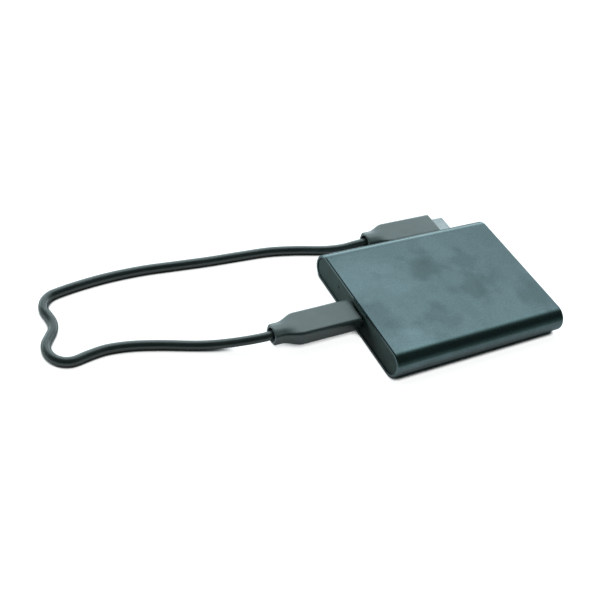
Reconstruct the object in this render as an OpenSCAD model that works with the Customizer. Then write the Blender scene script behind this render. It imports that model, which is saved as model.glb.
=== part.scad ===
// Portable solid state drive: an extruded sleeve closed by two stuck-on trims, a moulded chassis
// inside it with a bridge board and a flash module, and a short data cable plugged into its port.
// The drive lies on its flat underside. X runs from the port end to the blind end, Z is up, and the
// origin is the middle of the underside.

/* [Drive] */
// Length of the sleeve, from rim to rim
drive_l = 74; // [74:1:96]
// Width across the two rounded sides
drive_w = 57.3; // [56:0.1:80]
// Height of the sleeve, which is also the diameter of its rounded sides
drive_h = 10.5; // [10.1:0.1:13]
// Wall of the extruded sleeve
wall_t = 1; // [0.8:0.1:1.2]
// Bevel cut on the outer edge of each rim
rim_bevel = 0.3; // [0.1:0.05:0.5]

/* [Ends] */
// Depth of each trim's face behind the rim
trim_inset = 0.35; // [0.2:0.05:0.8]
// Thickness of a trim
trim_t = 0.7; // [0.5:0.1:1]
// Thickness of the adhesive film behind a trim
film_t = 0.15; // [0.1:0.05:0.2]
// Thickness of the end walls that the sleeve is screwed to
end_wall_t = 1.7; // [1.5:0.1:2.5]
// Gap all round a trim or an end wall in the sleeve
end_gap = 0.12; // [0.05:0.01:0.2]
// Distance of the status light from the middle of the port
light_y = 12.8; // [9:0.1:15]
// Height of the status light above the middle of the drive
light_rise = 0.9; // [0:0.1:1.5]
// Diameter of the light's hole in the trim
light_d = 1.2; // [0.8:0.1:1.6]

/* [Boards] */
// Thickness of the bridge board
bridge_t = 1; // [0.8:0.1:1.2]
// Length of the bridge board
bridge_l = 21.5; // [20:0.5:24]
// Width of the bridge board
bridge_w = 40; // [36:1:42]
// Length of the flash module
module_l = 50.8; // [48:0.1:52]
// Width of the flash module
module_w = 29.85; // [28:0.05:32]
// Thickness of the flash module's board
module_t = 0.8; // [0.6:0.1:1]
// Height of the module's board above the bridge board
module_rise = 2; // [1.8:0.1:2.2]
// Thickness of a chip package
chip_t = 1; // [0.8:0.1:1.2]

/* [Chassis] */
// Thickness of the chassis floor
floor_t = 1; // [0.8:0.1:1.2]
// Thickness of the chassis side walls
rail_t = 1.2; // [1:0.1:1.5]
// Gap between the chassis and the screw channels of the sleeve
chassis_gap = 0.2; // [0.1:0.05:0.4]
// Thread diameter of every screw
screw_d = 1.6; // [1.4:0.1:2]
// Length of the screws that hold the ends
end_screw_l = 5; // [4:0.5:8]

/* [Plugs] */
// Width of a plug's moulded body
plug_w = 10.9; // [9.6:0.1:12]
// Thickness of a plug's moulded body
plug_t = 6.1; // [5.4:0.1:6.5]
// Length of the full-width part of the body
plug_body_l = 22.5; // [16:0.5:28]
// Length of the shoulder from the body to the neck
plug_shoulder_l = 7.2; // [4:0.1:9]
// Length of the neck
plug_neck_l = 2.8; // [2.5:0.1:12]
// Width of the neck
plug_neck_w = 6.9; // [6.3:0.1:8]
// Radius of the body's long edges
plug_edge_r = 0.7; // [0.6:0.1:1.4]
// Lean of each side face from the parting line, in degrees
plug_draft = 6; // [2:1:8]
// Gap between the body and the rim of the drive when plugged in
plug_gap = 0.65; // [0.4:0.05:1.2]

/* [Cord] */
// Diameter of the cord
cord_d = 3.2; // [2.8:0.1:3.4]
// Diameter of the recess in the neck that the cord leaves by
cord_recess_d = 5; // [4.2:0.1:5.1]
// Depth of that recess
cord_recess_l = 2; // [1:0.1:3]

/* [Hidden] */

$fn = 64;
cut = 1; // how far a cutting solid runs past the face that it cuts
sliver = 0.001; // the same, for a cut that widens outwards

// The sleeve's section
mid_z = drive_h / 2;
bore_w = drive_w - 2 * wall_t;
bore_h = drive_h - 2 * wall_t;
bore_floor_z = wall_t;
bore_roof_z = drive_h - wall_t;

// The stack at each end, as distances from the middle of the drive
trim_face_x = drive_l / 2 - trim_inset;
film_face_x = trim_face_x - trim_t;
wall_face_x = film_face_x - film_t;
channel_end_x = wall_face_x - end_wall_t;
trim_w = bore_w - 2 * end_gap;
trim_h = bore_h - 2 * end_gap;
film_margin = 0.5; // of a film inside the outline of its trim

// Screw channels of the extrusion
channel_d = 3.4;
channel_y = bore_w / 2 - channel_d / 2 - 1.25;
channel_web_h = 1.2;

// Screws
screw_clear = 0.02; // radial, between a screw and its hole
screw_head_d = 3;
screw_head_t = 0.8;
screw_drive_d = 1.3;
screw_drive_depth = 0.45; // of its six-sided socket
sink_clear = 0.15; // radial, between a head and its counterbore
board_screw_l = 2.2;
module_screw_l = 3;
module_screw_head_d = 4.2;

// Socket and plug standard
mate_w = 8.34; // the socket's mouth
mate_h = 2.56;
socket_wall = 0.3;
socket_l = 7.35;
socket_w = mate_w + 2 * socket_wall;
socket_h = mate_h + 2 * socket_wall;
socket_setback = 0.35; // of the mouth behind the trim's face
socket_mouth_x = -trim_face_x + socket_setback;
socket_back_x = socket_mouth_x + socket_l;
socket_base_l = 1.6;
mouth_roll = 0.12; // bevel of the socket's mouth
dimple_x = socket_mouth_x + 3.4;
dimple_y = 2.2;
dimple_d = 1;
dimple_depth = 0.15;
// the socket's four legs, in slots of the bridge board
leg_x = [socket_mouth_x + 3.6, socket_back_x - 1.2];
leg_l = 1;
leg_clear = 0.12;
tongue_w = 6.7;
tongue_t = 0.7;
tongue_setback = 0.8;
tongue_root = 0.2; // of the tongue in its base
contact_pitch = 0.5;
contact_count = 12;
contact_w = 0.25;
contact_t = 0.06;
contact_setback = 0.3; // of the contacts behind the tongue's edge
nose_l = 6.65; // the plug's metal shell outside its moulded body
nose_w = 8.25;
nose_h = 2.4;
nose_wall = 0.15;
nose_hidden_l = 5; // the stretch of the shell inside the body
nose_taper_l = 0.25;
nose_taper = 0.15;
slot_h = 1.3; // the plug's slot for the tongue
slot_floor_x = 0.6; // from the front face of the plug's body
slot_side_clear = 0.1;
slot_setback = 0.3; // of the slot's mouth behind the shell's edge
beam_t = 0.17;
beam_setback = 1;
opening_clear = 0.2; // of the trim and the end wall round the socket

// Boards
bridge_top_z = mid_z - socket_h / 2;
bridge_z = bridge_top_z - bridge_t;
bridge_x0 = socket_mouth_x + 2.3;
bridge_x1 = bridge_x0 + bridge_l;
board_corner_r = 1;
board_hole_clear = 0.2; // radial, round a screw
module_z = bridge_top_z + module_rise;
module_top_z = module_z + module_t;
connector_l = 6.6;
connector_w = 31.5;
connector_h = 4;
connector_x1 = bridge_x1 - 1;
connector_x0 = connector_x1 - connector_l;
connector_lip_l = 1; // of its roof, cut away over the mouth of the slot
card_clear = 0.1; // round the module's tab in the slot
card_end_clear = 0.2;
card_depth = 3.6; // of the module's edge in the connector
card_w = 26.2; // the narrow tab of the module that enters the connector
card_relief = 0.3; // between the tab's shoulders and the connector
card_root = 2;
module_x0 = connector_x1 - card_depth;
module_x1 = module_x0 + module_l;
module_screw_x = module_x1 - 2.75;
module_screw_y = 12.1;
module_hole_d = 2.6;
module_corner_r = 0.6;
pin_pitch = 0.8;
pin_count = 30;
pin_w = 0.36;
pin_t = 0.18;
pin_l = 2.4;
bridge_screw_x = bridge_x0 + 3.4;
bridge_screw_y = bridge_w / 2 - 3;
led_l = 1.6;
led_w = 0.8;
led_t = 0.6;
led_x = bridge_x0 + 1.5;
light_z = mid_z + light_rise;
pipe_d = 1.8;
pipe_clear = 0.08;
bridge_chip_size = [6, 6, 0.85];
inductor_size = [3, 3, 1.2];
inductor_place = [bridge_x0 + 6, -10.5];
inductor_well_d = 2;
inductor_well_depth = 0.2;
crystal_size = [3.2, 2.5, 0.75];
crystal_place = [bridge_x0 + 7.6, 7.2];
capacitor_size = [0.8, 1.6, 0.7];
bridge_capacitor_places = [
    [socket_back_x + 1, -4.6], [socket_back_x + 1, 4.6], [bridge_x0 + 9.5, -13], [bridge_x0 + 11, -14],
    [bridge_x0 + 9.5, 15], [bridge_x0 + 11, 16], [bridge_x0 + 3, -7.2], [bridge_x0 + 5, -7.2],
    [bridge_x0 + 7, -7.2]
];
capacitor_y = 12.2; // of the two rows on the module
capacitor_pitch = 4.4;
capacitor_row_x = module_x0 + 20;
package_l = 14;
package_w = 18;
package_x = [module_x0 + 25.5, module_x0 + 40.5];
first_row_x = module_x0 + 11.2;
controller_s = 10.5;
controller_y = -7;
memory_l = 10.5;
memory_w = 8;
memory_y = 6.5;
pad_top_gap = 0.1;
pad_corner_r = 1;

// Chassis
chassis_hw = channel_y - channel_d / 2 - chassis_gap;
foot_h = 0.25;
floor_z = bore_floor_z + foot_h;
floor_top_z = floor_z + floor_t;
rail_top_z = floor_top_z + 5.2;
chassis_end_x = channel_end_x - 0.15;
boss_d = 4.2;
rest_size = [2.4, 3]; // of the two blocks that the bridge board's far edge rests on
rest_x = bridge_x1 - 1.8;
rest_y = 8;
bracket_ledge_l = 1.7;
bracket_ledge_t = 1.2;
bracket_ledge_w = 16;
foot_w = 2;
foot_y = chassis_hw - foot_w;
window_x = [bridge_x1 + 3.6, bridge_x1 + 20.6];
window_l = 13.2;
window_r = 2;
spine_w = 4; // of the floor between the two rows of windows
window_margin = 0.4; // between a row of windows and its foot
rib_x = [bridge_x1 + 1.8, bridge_x1 + 18.7];
rib_w = 1.4;
rib_h = 0.5;
notch_x = [-16, 4, 24];
notch_l = 9;
notch_h = 3;
notch_rise = 2.4; // above the floor

// Plugs
plug_l = plug_body_l + plug_shoulder_l + plug_neck_l;
plug_front_x = -drive_l / 2 - plug_gap;
plug_end_x = plug_front_x - plug_l;
plug_corner_n = 6; // points on each rounded corner of a section
host_gap = 0.4; // between the host plug and the side of the drive
host_end = [-12, drive_w / 2 + host_gap + plug_w / 2, plug_t / 2]; // where its neck ends

// The cord's route, from the drive's plug to the host plug, which lies along the drive's side
cord_z = cord_d / 2;
cord_start = [plug_end_x + cord_recess_l, 0, mid_z];
cord_finish = host_end + [cord_recess_l, 0, 0];
cord_route = [
    [-73, 0, 5], [-80, 1.6, 3.7], [-88, 4.2, 2.1], [-96, 6.8, cord_z], [-105, 9.9, cord_z],
    [-114, 12.4, cord_z], [-122, 13.4, cord_z], [-128.5, 12.7, cord_z], [-133.2, 11.8, cord_z],
    [-136.4, 12.4, cord_z], [-138.9, 14.5, cord_z], [-140, 17.6, cord_z], [-139.5, 20.9, cord_z],
    [-137.6, 23.6, cord_z], [-135.6, 26.2, cord_z], [-134.8, 29.3, cord_z], [-135.2, 32.4, cord_z],
    [-135.8, 35.4, cord_z], [-134.9, 38.5, cord_z], [-132.7, 40.8, cord_z], [-129.7, 41.9, cord_z],
    [-121, 43.4, cord_z], [-110, 44.4, cord_z], [-98, 44.4, cord_z], [-86, 43.4, cord_z],
    [-74, 42.4, cord_z], [-62, 41.8, cord_z], [-50, 41, cord_z], [-39.5, 38.9, cord_z],
    [-30, 36.3, cord_z], [-22.5, 34.9, 1.9], [-16, 34.5, 2.7]
];
cord_ring_gap = 3 * cord_d; // a longer span of the route has one more ring in its middle
cord_sides = 8;

// Maps a flat outline's x, y and height to the drive's Y, Z and X
module along_x(x0, x1) {
    translate([x0, 0, 0]) rotate([90, 0, 90]) linear_extrude(x1 - x0) children();
}

// A flat outline with full-round ends, centred
module slot_outline(w, h) {
    square([w - h, h], center = true);
    for (s = [-1, 1]) translate([s * (w - h) / 2, 0]) circle(d = h);
}

// A flat rectangle with rounded corners, from its lower left corner
module rounded_outline(l, w, r) {
    translate([r, 0]) square([l - 2 * r, w]);
    translate([0, r]) square([l, w - 2 * r]);
    for (x = [r, l - r], y = [r, w - r]) translate([x, y]) circle(r = r);
}

// A bar with rounded sides along X
module slot_bar(x0, x1, w, h) {
    translate([0, 0, mid_z]) along_x(x0, x1) slot_outline(w, h);
}

// The same bar, its section drawn in all round by the bevel from x0 to x1; a negative bevel widens it
module slot_taper(x0, x1, w, h, bevel) {
    half = (w - h) / 2;
    translate([0, half, mid_z]) rotate([90, 0, 0]) linear_extrude(2 * half)
        polygon([[x0, -h / 2], [x1, -h / 2 + bevel], [x1, h / 2 - bevel], [x0, h / 2]]);
    for (s = [-1, 1]) translate([x0, s * half, mid_z]) rotate([0, 90, 0])
        cylinder(h = x1 - x0, r1 = h / 2, r2 = h / 2 - bevel);
}

// A round hole or pin along X
module rod_x(x0, x1, y, z, d) {
    translate([x0, y, z]) rotate([0, 90, 0]) cylinder(h = x1 - x0, d = d);
}

// A centred block standing on z
module block(x, y, z, size) {
    translate([x - size[0] / 2, y - size[1] / 2, z]) cube(size);
}

// A pan-head screw that points down, its head's underside at the origin
module screw(shank_l, head_d = screw_head_d) {
    difference() {
        union() {
            cylinder(h = screw_head_t, d = head_d);
            translate([0, 0, -shank_l]) cylinder(h = shank_l, d = screw_d);
        }
        translate([0, 0, screw_head_t - screw_drive_depth])
            cylinder(h = screw_drive_depth + cut, d = screw_drive_d, $fn = 6);
    }
}

// The two end screws of one end, s = -1 for the port end and 1 for the blind end
module end_screws(s) {
    head_x = wall_face_x - screw_head_t;
    for (y = [-channel_y, channel_y]) translate([s * head_x, y, mid_z]) rotate([0, s * 90, 0])
        screw(end_screw_l);
}

// What each end wall is cut for: its two screws
module end_wall_holes(s) {
    x0 = s < 0 ? -wall_face_x - cut : channel_end_x - cut;
    sink_x = wall_face_x - screw_head_t;
    for (y = [-channel_y, channel_y]) {
        rod_x(x0, x0 + end_wall_t + 2 * cut, y, mid_z, screw_d + 2 * screw_clear);
        rod_x(s < 0 ? -wall_face_x - cut : sink_x, s < 0 ? -sink_x : wall_face_x + cut, y, mid_z,
            screw_head_d + 2 * sink_clear);
    }
}

module sleeve() {
    color([0.13, 0.17, 0.19]) difference() {
        union() {
            difference() {
                union() {
                    slot_bar(-drive_l / 2 + rim_bevel, drive_l / 2 - rim_bevel, drive_w, drive_h);
                    slot_taper(drive_l / 2 - rim_bevel, drive_l / 2, drive_w, drive_h, rim_bevel);
                    mirror([1, 0, 0])
                        slot_taper(drive_l / 2 - rim_bevel, drive_l / 2, drive_w, drive_h, rim_bevel);
                }
                slot_bar(-drive_l / 2 - cut, drive_l / 2 + cut, bore_w, bore_h);
            }
            for (s = [-1, 1]) {
                rod_x(-channel_end_x, channel_end_x, s * channel_y, mid_z, channel_d);
                translate([-channel_end_x, s > 0 ? channel_y : -drive_w / 2 + wall_t / 2,
                        mid_z - channel_web_h / 2])
                    cube([2 * channel_end_x, drive_w / 2 - wall_t / 2 - channel_y, channel_web_h]);
            }
        }
        for (y = [-channel_y, channel_y])
            rod_x(-drive_l, drive_l, y, mid_z, screw_d + 2 * screw_clear);
    }
}

// Holes that the port end's trim, film and wall share
module port_holes(x0, x1, light_hole_d) {
    translate([0, 0, mid_z]) along_x(x0, x1)
        slot_outline(socket_w + 2 * opening_clear, socket_h + 2 * opening_clear);
    rod_x(x0, x1, light_y, light_z, light_hole_d);
}

module port_trim() {
    color([0.15, 0.17, 0.17]) difference() {
        slot_bar(-trim_face_x, -film_face_x, trim_w, trim_h);
        port_holes(-trim_face_x - cut, -film_face_x + cut, light_d);
    }
}

module rear_trim() {
    color([0.15, 0.17, 0.17]) slot_bar(film_face_x, trim_face_x, trim_w, trim_h);
}

// Die-cut adhesive film, open over the port and the light
module port_trim_film() {
    color([0.75, 0.75, 0.7]) difference() {
        slot_bar(-film_face_x, -wall_face_x, trim_w - 2 * film_margin, trim_h - 2 * film_margin);
        port_holes(-film_face_x - cut, -wall_face_x + cut, pipe_d + 2 * pipe_clear);
    }
}

module rear_trim_film() {
    color([0.75, 0.75, 0.7])
        slot_bar(wall_face_x, film_face_x, trim_w - 2 * film_margin, trim_h - 2 * film_margin);
}

module port_end_screws() {
    color("silver") end_screws(-1);
}

module rear_end_screws() {
    color("silver") end_screws(1);
}

// Posts of the chassis that the bridge board is screwed to
module board_posts(top_z) {
    for (y = [-bridge_screw_y, bridge_screw_y]) translate([bridge_screw_x, y, floor_z])
        cylinder(h = top_z - floor_z, d = boss_d);
    for (y = [-rest_y, rest_y]) block(rest_x, y, floor_z, concat(rest_size, top_z - floor_z));
}

module chassis() {
    window_w = foot_y - foot_w / 2 - window_margin - spine_w / 2;
    color([0.2, 0.2, 0.21]) difference() {
        union() {
            slot_bar(-wall_face_x, -channel_end_x, trim_w, trim_h);
            // floor, its two feet and its side walls
            translate([-channel_end_x - cut / 2, -chassis_hw, floor_z])
                cube([channel_end_x + chassis_end_x + cut / 2, 2 * chassis_hw, floor_t]);
            for (s = [-1, 1]) {
                block(0, s * foot_y, bore_floor_z, [2 * chassis_end_x, foot_w, foot_h + floor_t / 2]);
                translate([-channel_end_x - cut / 2, s > 0 ? chassis_hw - rail_t : -chassis_hw, floor_z])
                    cube([channel_end_x + chassis_end_x + cut / 2, rail_t, rail_top_z - floor_z]);
            }
            board_posts(bridge_z);
            for (y = [-module_screw_y, module_screw_y]) translate([module_screw_x, y, floor_z])
                cylinder(h = module_z - floor_z, d = boss_d);
            // cross ribs that stiffen the floor between its windows
            for (x = rib_x)
                block(x, 0, floor_z, [rib_w, 2 * chassis_hw - rail_t, floor_t + rib_h]);
        }
        end_wall_holes(-1);
        port_holes(-wall_face_x - cut, -channel_end_x + cut, pipe_d + 2 * pipe_clear);
        // windows in the floor
        for (x = window_x, s = [-1, 1])
            translate([x, s > 0 ? spine_w / 2 : -spine_w / 2 - window_w, floor_z - cut])
                linear_extrude(floor_t + 2 * cut) rounded_outline(window_l, window_w, window_r);
        // notches in the side walls, where the sleeve's draught runs
        for (x = notch_x, s = [-1, 1])
            block(x, s * chassis_hw, floor_top_z + notch_rise, [notch_l, 4 * rail_t, notch_h + cut]);
        for (y = [-bridge_screw_y, bridge_screw_y]) translate([bridge_screw_x, y, bore_floor_z])
            cylinder(h = drive_h, d = screw_d + 2 * screw_clear);
        for (y = [-module_screw_y, module_screw_y]) translate([module_screw_x, y, bore_floor_z])
            cylinder(h = drive_h, d = screw_d + 2 * screw_clear);
    }
}

module rear_bracket() {
    color([0.2, 0.2, 0.21]) difference() {
        union() {
            slot_bar(channel_end_x, wall_face_x, trim_w, trim_h);
            // ledge that holds the end of the chassis floor down
            translate([channel_end_x - bracket_ledge_l, -bracket_ledge_w / 2, floor_top_z])
                cube([bracket_ledge_l + cut / 2, bracket_ledge_w, bracket_ledge_t]);
        }
        end_wall_holes(1);
    }
}

// Clear moulding that carries the light from the LED on the board to the hole in the trim
module light_pipe() {
    foot_x = led_x - led_l / 2;
    color([0.85, 0.9, 0.92]) {
        rod_x(-trim_face_x, -film_face_x + cut / 4, light_y, light_z, light_d - 2 * pipe_clear);
        rod_x(-film_face_x, led_x + led_l / 2, light_y, light_z, pipe_d);
        translate([foot_x, light_y - pipe_d / 2, bridge_top_z + led_t])
            cube([led_l, pipe_d, light_z - bridge_top_z - led_t]);
    }
}

module status_led() {
    color([0.95, 0.93, 0.8]) block(led_x, light_y, bridge_top_z, [led_l, led_w, led_t]);
}

module bridge_board() {
    color([0.06, 0.2, 0.14]) difference() {
        translate([bridge_x0, -bridge_w / 2, bridge_z]) linear_extrude(bridge_t)
            rounded_outline(bridge_l, bridge_w, board_corner_r);
        for (y = [-bridge_screw_y, bridge_screw_y]) translate([bridge_screw_x, y, bridge_z - cut])
            cylinder(h = bridge_t + 2 * cut, d = screw_d + 2 * board_hole_clear);
        for (x = leg_x, s = [-1, 1])
            block(x, s * (socket_w - socket_wall) / 2, bridge_z - cut,
                [leg_l + 2 * leg_clear, socket_wall + 2 * leg_clear, bridge_t + 2 * cut]);
    }
}

module bridge_board_screws() {
    color("silver") for (y = [-bridge_screw_y, bridge_screw_y])
        translate([bridge_screw_x, y, bridge_top_z]) screw(board_screw_l);
}

// Drawn steel shell of the socket, with a rolled mouth and four legs through the board
module socket_shell() {
    color([0.75, 0.76, 0.78]) difference() {
        union() {
            slot_bar(socket_mouth_x, socket_back_x, socket_w, socket_h);
            for (x = leg_x, s = [-1, 1])
                block(x, s * (socket_w - socket_wall) / 2, bridge_z, [leg_l, socket_wall, mid_z - bridge_z]);
        }
        slot_bar(socket_mouth_x - cut, socket_back_x + cut, mate_w, mate_h);
        slot_taper(socket_mouth_x - sliver, socket_mouth_x + mouth_roll, mate_w + 2 * mouth_roll,
            mate_h + 2 * mouth_roll, mouth_roll);
        // dimples that grip the plug
        for (s = [-1, 1]) translate([dimple_x, s * dimple_y, mid_z + socket_h / 2])
            cylinder(h = 2 * dimple_depth, d = dimple_d, center = true);
    }
}

module socket_insulator() {
    color([0.08, 0.08, 0.09]) {
        slot_bar(socket_back_x - socket_base_l, socket_back_x, mate_w, mate_h);
        translate([socket_mouth_x + tongue_setback, -tongue_w / 2, mid_z - tongue_t / 2])
            cube([socket_l - tongue_setback - socket_base_l + tongue_root, tongue_w, tongue_t]);
    }
}

// A row of flat contacts along X, thickness t, above or below the middle by z
module contact_row(x0, x1, z, t) {
    for (i = [0 : contact_count - 1])
        translate([x0, (i - (contact_count - 1) / 2) * contact_pitch - contact_w / 2, mid_z + z])
            cube([x1 - x0, contact_w, t]);
}

module socket_contacts() {
    x0 = socket_mouth_x + tongue_setback + contact_setback;
    x1 = socket_back_x - socket_base_l;
    color("gold") {
        contact_row(x0, x1, tongue_t / 2, contact_t);
        contact_row(x0, x1, -tongue_t / 2 - contact_t, contact_t);
    }
}

module bridge_chip() {
    color([0.1, 0.1, 0.11]) block((socket_back_x + connector_x0) / 2, 0, bridge_top_z, bridge_chip_size);
}

module bridge_inductor() {
    color([0.28, 0.27, 0.26]) translate([inductor_place[0], inductor_place[1], bridge_top_z]) difference() {
        block(0, 0, 0, inductor_size);
        translate([0, 0, inductor_size[2] - inductor_well_depth]) cylinder(h = cut, d = inductor_well_d);
    }
}

module bridge_crystal() {
    color([0.8, 0.8, 0.78]) block(crystal_place[0], crystal_place[1], bridge_top_z, crystal_size);
}

// Small two-ended capacitor standing at x, y on a board's face
module capacitor(x, y, z) {
    block(x, y, z, capacitor_size);
}

module bridge_capacitors() {
    color([0.62, 0.52, 0.38]) for (place = bridge_capacitor_places)
        capacitor(place[0], place[1], bridge_top_z);
}

// Card-edge connector: a housing with a slot for the module's tab
module module_connector() {
    color([0.12, 0.12, 0.13]) difference() {
        translate([connector_x0, -connector_w / 2, bridge_top_z])
            cube([connector_l, connector_w, connector_h]);
        translate([module_x0 - card_end_clear, -card_w / 2 - card_clear, module_z - pin_t - card_clear])
            cube([card_depth + cut, card_w + 2 * card_clear, module_t + 2 * pin_t + 2 * card_clear]);
        // the housing is cut away over the slot's mouth
        translate([connector_x1 - connector_lip_l, -card_w / 2, module_top_z])
            cube([connector_lip_l + cut, card_w, connector_h]);
    }
}

module module_connector_pins() {
    color("gold") for (i = [0 : pin_count - 1], s = [0, 1]) {
        z = s > 0 ? module_top_z : module_z - pin_t;
        translate([module_x0 + card_end_clear, (i - (pin_count - 1) / 2) * pin_pitch - pin_w / 2, z])
            cube([pin_l, pin_w, pin_t]);
    }
}

module flash_module_board() {
    color([0.05, 0.16, 0.3]) difference() {
        union() {
            translate([module_x0 + card_depth + card_relief, -module_w / 2, module_z])
                linear_extrude(module_t)
                    rounded_outline(module_l - card_depth - card_relief, module_w, module_corner_r);
            translate([module_x0, -card_w / 2, module_z]) cube([card_depth + card_root, card_w, module_t]);
        }
        for (y = [-module_screw_y, module_screw_y]) translate([module_screw_x, y, module_z - cut])
            cylinder(h = module_t + 2 * cut, d = module_hole_d);
    }
}

module module_screws() {
    color("silver") for (y = [-module_screw_y, module_screw_y])
        translate([module_screw_x, y, module_top_z]) screw(module_screw_l, module_screw_head_d);
}

// Two packages on top of the module and two below it
module flash_packages() {
    color([0.1, 0.1, 0.11]) for (x = package_x, z = [module_top_z, module_z - chip_t])
        block(x, 0, z, [package_l, package_w, chip_t]);
}

module controller_chip() {
    color([0.09, 0.09, 0.1])
        block(first_row_x, controller_y, module_top_z, [controller_s, controller_s, chip_t]);
}

module memory_chip() {
    color([0.11, 0.11, 0.12]) block(first_row_x, memory_y, module_top_z, [memory_l, memory_w, chip_t]);
}

module module_capacitors() {
    color([0.62, 0.52, 0.38]) {
        for (i = [0 : 5]) capacitor(capacitor_row_x + capacitor_pitch * i, -capacitor_y, module_top_z);
        for (i = [0 : 4]) capacitor(capacitor_row_x + capacitor_pitch * i, capacitor_y, module_top_z);
    }
}

// Soft pad that carries heat from the chips to the roof of the sleeve
module thermal_pad() {
    x0 = first_row_x - controller_s / 2;
    x1 = package_x[1] + package_l / 2;
    z = module_top_z + chip_t;
    color([0.45, 0.55, 0.62]) translate([x0, -package_w / 2, z])
        linear_extrude(bore_roof_z - pad_top_gap - z) rounded_outline(x1 - x0, package_w, pad_corner_r);
}

function blend(t) = t * t * (3 - 2 * t);

// Points of a plug's section round the origin, as [across, up]: a rounded rectangle whose sides lean
// in both ways from the parting line at half its height
function corner(w, h, r) =
    let (lean = plug_draft, cy = h / 2 - r, cx = w / 2 - r / cos(lean) - cy * tan(lean))
    [for (i = [0 : plug_corner_n - 1]) let (a = lean + (90 - lean) * i / (plug_corner_n - 1))
        [cx + r * cos(a), cy + r * sin(a)]];
function section(w, h, r) =
    let (q = corner(w, h, r), n = plug_corner_n)
    concat([[w / 2, 0]], q, [for (i = [n - 1 : -1 : 0]) [-q[i][0], q[i][1]]],
        [[-w / 2, 0]], [for (p = q) [-p[0], -p[1]]], [for (i = [n - 1 : -1 : 0]) [q[i][0], -q[i][1]]]);

// A skin over rings of equally many points, closed at both ends
module skin(rings) {
    n = len(rings[0]);
    m = len(rings);
    polyhedron(
        points = [for (ring = rings, p = ring) p],
        faces = concat(
            [[for (i = [0 : n - 1]) i]],
            [for (k = [0 : m - 2], i = [0 : n - 1])
                let (j = (i + 1) % n) [k * n + i, (k + 1) * n + i, (k + 1) * n + j, k * n + j]],
            [[for (i = [n - 1 : -1 : 0]) (m - 1) * n + i]]
        ),
        convexity = 4
    );
}

// Stations along a plug's body, from its front face to the end of its neck:
// [distance, width, thickness, edge radius]
nose_round = 0.5; // the rounding of the front face's edge and of the neck's end
shoulder_steps = 8;
neck_edge_r = 2.4;
front_edge_share = 0.3; // of what the front face loses in width, off its edge radius
neck_round_share = 0.7; // of nose_round, taken off the neck's end all round
plug_stations = concat(
    [for (a = [0, 30, 60, 90]) let (d = 2 * nose_round * (1 - sin(a)))
        [nose_round * (1 - cos(a)), plug_w - d, plug_t - d, plug_edge_r - d * front_edge_share]],
    [[plug_body_l / 2, plug_w, plug_t, plug_edge_r]],
    [for (i = [0 : shoulder_steps]) let (t = i / shoulder_steps, b = blend(t))
        [plug_body_l + plug_shoulder_l * t, plug_w + (plug_neck_w - plug_w) * b,
            plug_t, plug_edge_r + (neck_edge_r - plug_edge_r) * b]],
    [for (a = [90, 60, 30, 0]) let (d = 2 * nose_round * (1 - sin(a)) * neck_round_share)
        [plug_l - nose_round * (1 - cos(a)), plug_neck_w - d, plug_t - d, neck_edge_r - d / 2]]
);

// A plug's moulded body, its front face at x = 0 and its neck towards -X, about z = mid_z
module plug_body() {
    difference() {
        skin([for (s = plug_stations)
            [for (p = section(s[1], s[2], s[3])) [-s[0], p[0], mid_z + p[1]]]]);
        slot_bar(-nose_hidden_l, cut, nose_w, nose_h);
        rod_x(-plug_l - cut, -plug_l + cord_recess_l, 0, mid_z, cord_recess_d);
    }
}

// Its drawn metal shell, which stands out of the body towards +X
module plug_shell() {
    difference() {
        union() {
            slot_bar(-nose_hidden_l, nose_l - nose_taper_l, nose_w, nose_h);
            slot_taper(nose_l - nose_taper_l, nose_l, nose_w, nose_h, nose_taper);
        }
        slot_bar(-nose_hidden_l - cut, nose_l + cut, nose_w - 2 * nose_wall, nose_h - 2 * nose_wall);
    }
}

module plug_insulator() {
    w = nose_w - 2 * nose_wall;
    h = nose_h - 2 * nose_wall;
    difference() {
        slot_bar(-nose_hidden_l, nose_l - slot_setback, w, h);
        translate([slot_floor_x, -tongue_w / 2 - slot_side_clear, mid_z - slot_h / 2])
            cube([nose_l + cut, tongue_w + 2 * slot_side_clear, slot_h]);
    }
}

module plug_contacts() {
    contact_row(slot_floor_x, nose_l - beam_setback, slot_h / 2 - beam_t, beam_t);
    contact_row(slot_floor_x, nose_l - beam_setback, -slot_h / 2, beam_t);
}

module at_drive() {
    translate([plug_front_x, 0, 0]) children();
}

module at_host() {
    translate(host_end + [plug_l, 0, -mid_z]) children();
}

module drive_plug_body() {
    color([0.13, 0.14, 0.14]) at_drive() plug_body();
}

module drive_plug_shell() {
    color([0.75, 0.76, 0.78]) at_drive() plug_shell();
}

module drive_plug_insulator() {
    color([0.08, 0.08, 0.09]) at_drive() plug_insulator();
}

module drive_plug_contacts() {
    color("gold") at_drive() plug_contacts();
}

module host_plug_body() {
    color([0.13, 0.14, 0.14]) at_host() plug_body();
}

module host_plug_shell() {
    color([0.75, 0.76, 0.78]) at_host() plug_shell();
}

module host_plug_insulator() {
    color([0.08, 0.08, 0.09]) at_host() plug_insulator();
}

module host_plug_contacts() {
    color("gold") at_host() plug_contacts();
}

// The cord's path: the route, with one more point in the middle of each long span
function middle(p, i) = (9 * (p[i] + p[i + 1]) - p[i - 1] - p[i + 2]) / 16;
function with_middles(p) = [
    for (i = [0 : len(p) - 1])
        each i > 0 && i < len(p) - 2 && norm(p[i + 1] - p[i]) > cord_ring_gap ? [p[i], middle(p, i)] : [p[i]]
];

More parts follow.
